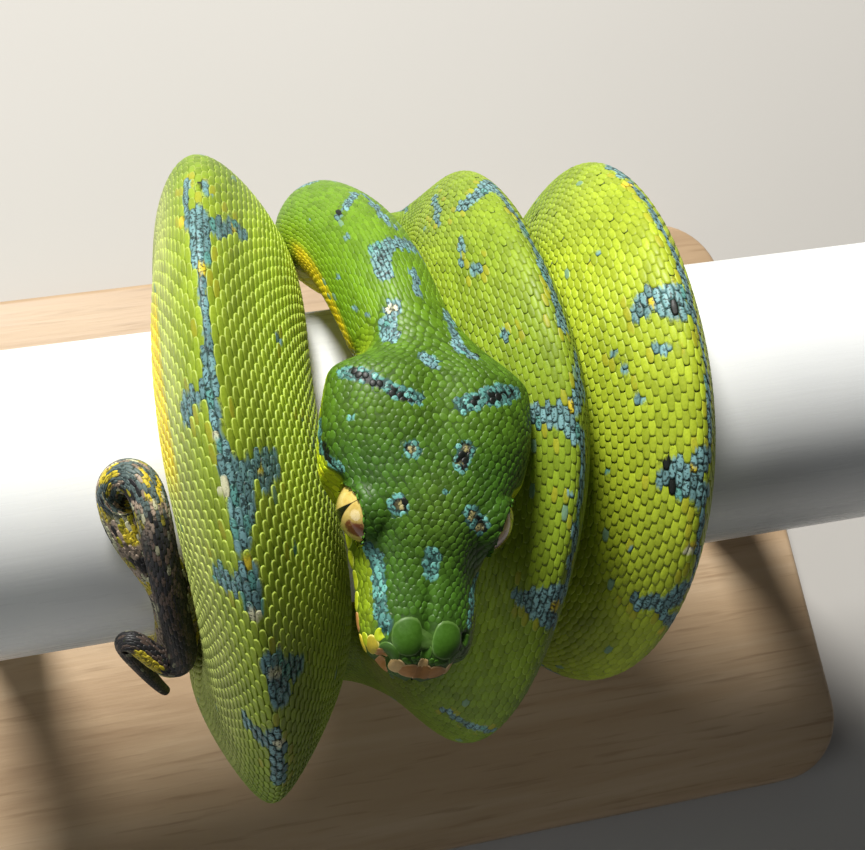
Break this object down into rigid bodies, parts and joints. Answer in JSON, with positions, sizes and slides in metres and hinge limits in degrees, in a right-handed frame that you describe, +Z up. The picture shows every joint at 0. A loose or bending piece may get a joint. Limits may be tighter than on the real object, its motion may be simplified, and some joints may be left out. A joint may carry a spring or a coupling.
{
  "type": "coiled green tree python",
  "caption": "Life-size still model of a young green tree python coiled over a short white pipe, on a small display stand.",
  "frame": {"origin": "centre of the stand's underside, on the surface that the stand rests on", "axes": "+Z up, +X along the perch pipe, towards the snake's thinnest coil over the pipe, -Y the near side that the head faces"},
  "size_m": [0.128, 0.088, 0.0951],
  "materials": {
    "head_skin": "small granular scales, deep green with blue, black and yellow marks, satin sheen",
    "body_skin": "smooth lozenge scales, leaf green with light yellow-green edges and broken blue markings along the ridge, satin sheen",
    "tail_skin": "fine scales, blue-black with cream, mauve and yellow patches, satin sheen",
    "eye": "clear glossy spectacle over a yellow and brown iris with a dark slit pupil",
    "perch": "plain white water pipe, smooth and slightly glossy, faintly scuffed",
    "stand": "pale close-grained wood, rounded corners, matt oiled",
    "stand_rod": "plain round rod, satin"
  },
  "bodies": {
    "root": {"head": "head_skin", "lower_jaw": "head_skin", "eye_left": "eye", "eye_right": "eye", "neck": "body_skin", "trunk_01": "body_skin", "trunk_02": "body_skin", "trunk_03": "body_skin", "trunk_04": "body_skin", "trunk_05": "body_skin", "trunk_06": "body_skin", "trunk_07": "body_skin", "trunk_08": "body_skin", "trunk_09": "body_skin", "trunk_10": "body_skin", "trunk_11": "body_skin", "trunk_12": "body_skin", "tail_1": "tail_skin", "tail_2": "tail_skin", "tail_3": "tail_skin", "perch_pipe": "perch", "stand_base": "stand", "stand_rod_left": "stand_rod", "stand_rod_right": "stand_rod"}
  },
  "joints": []
}
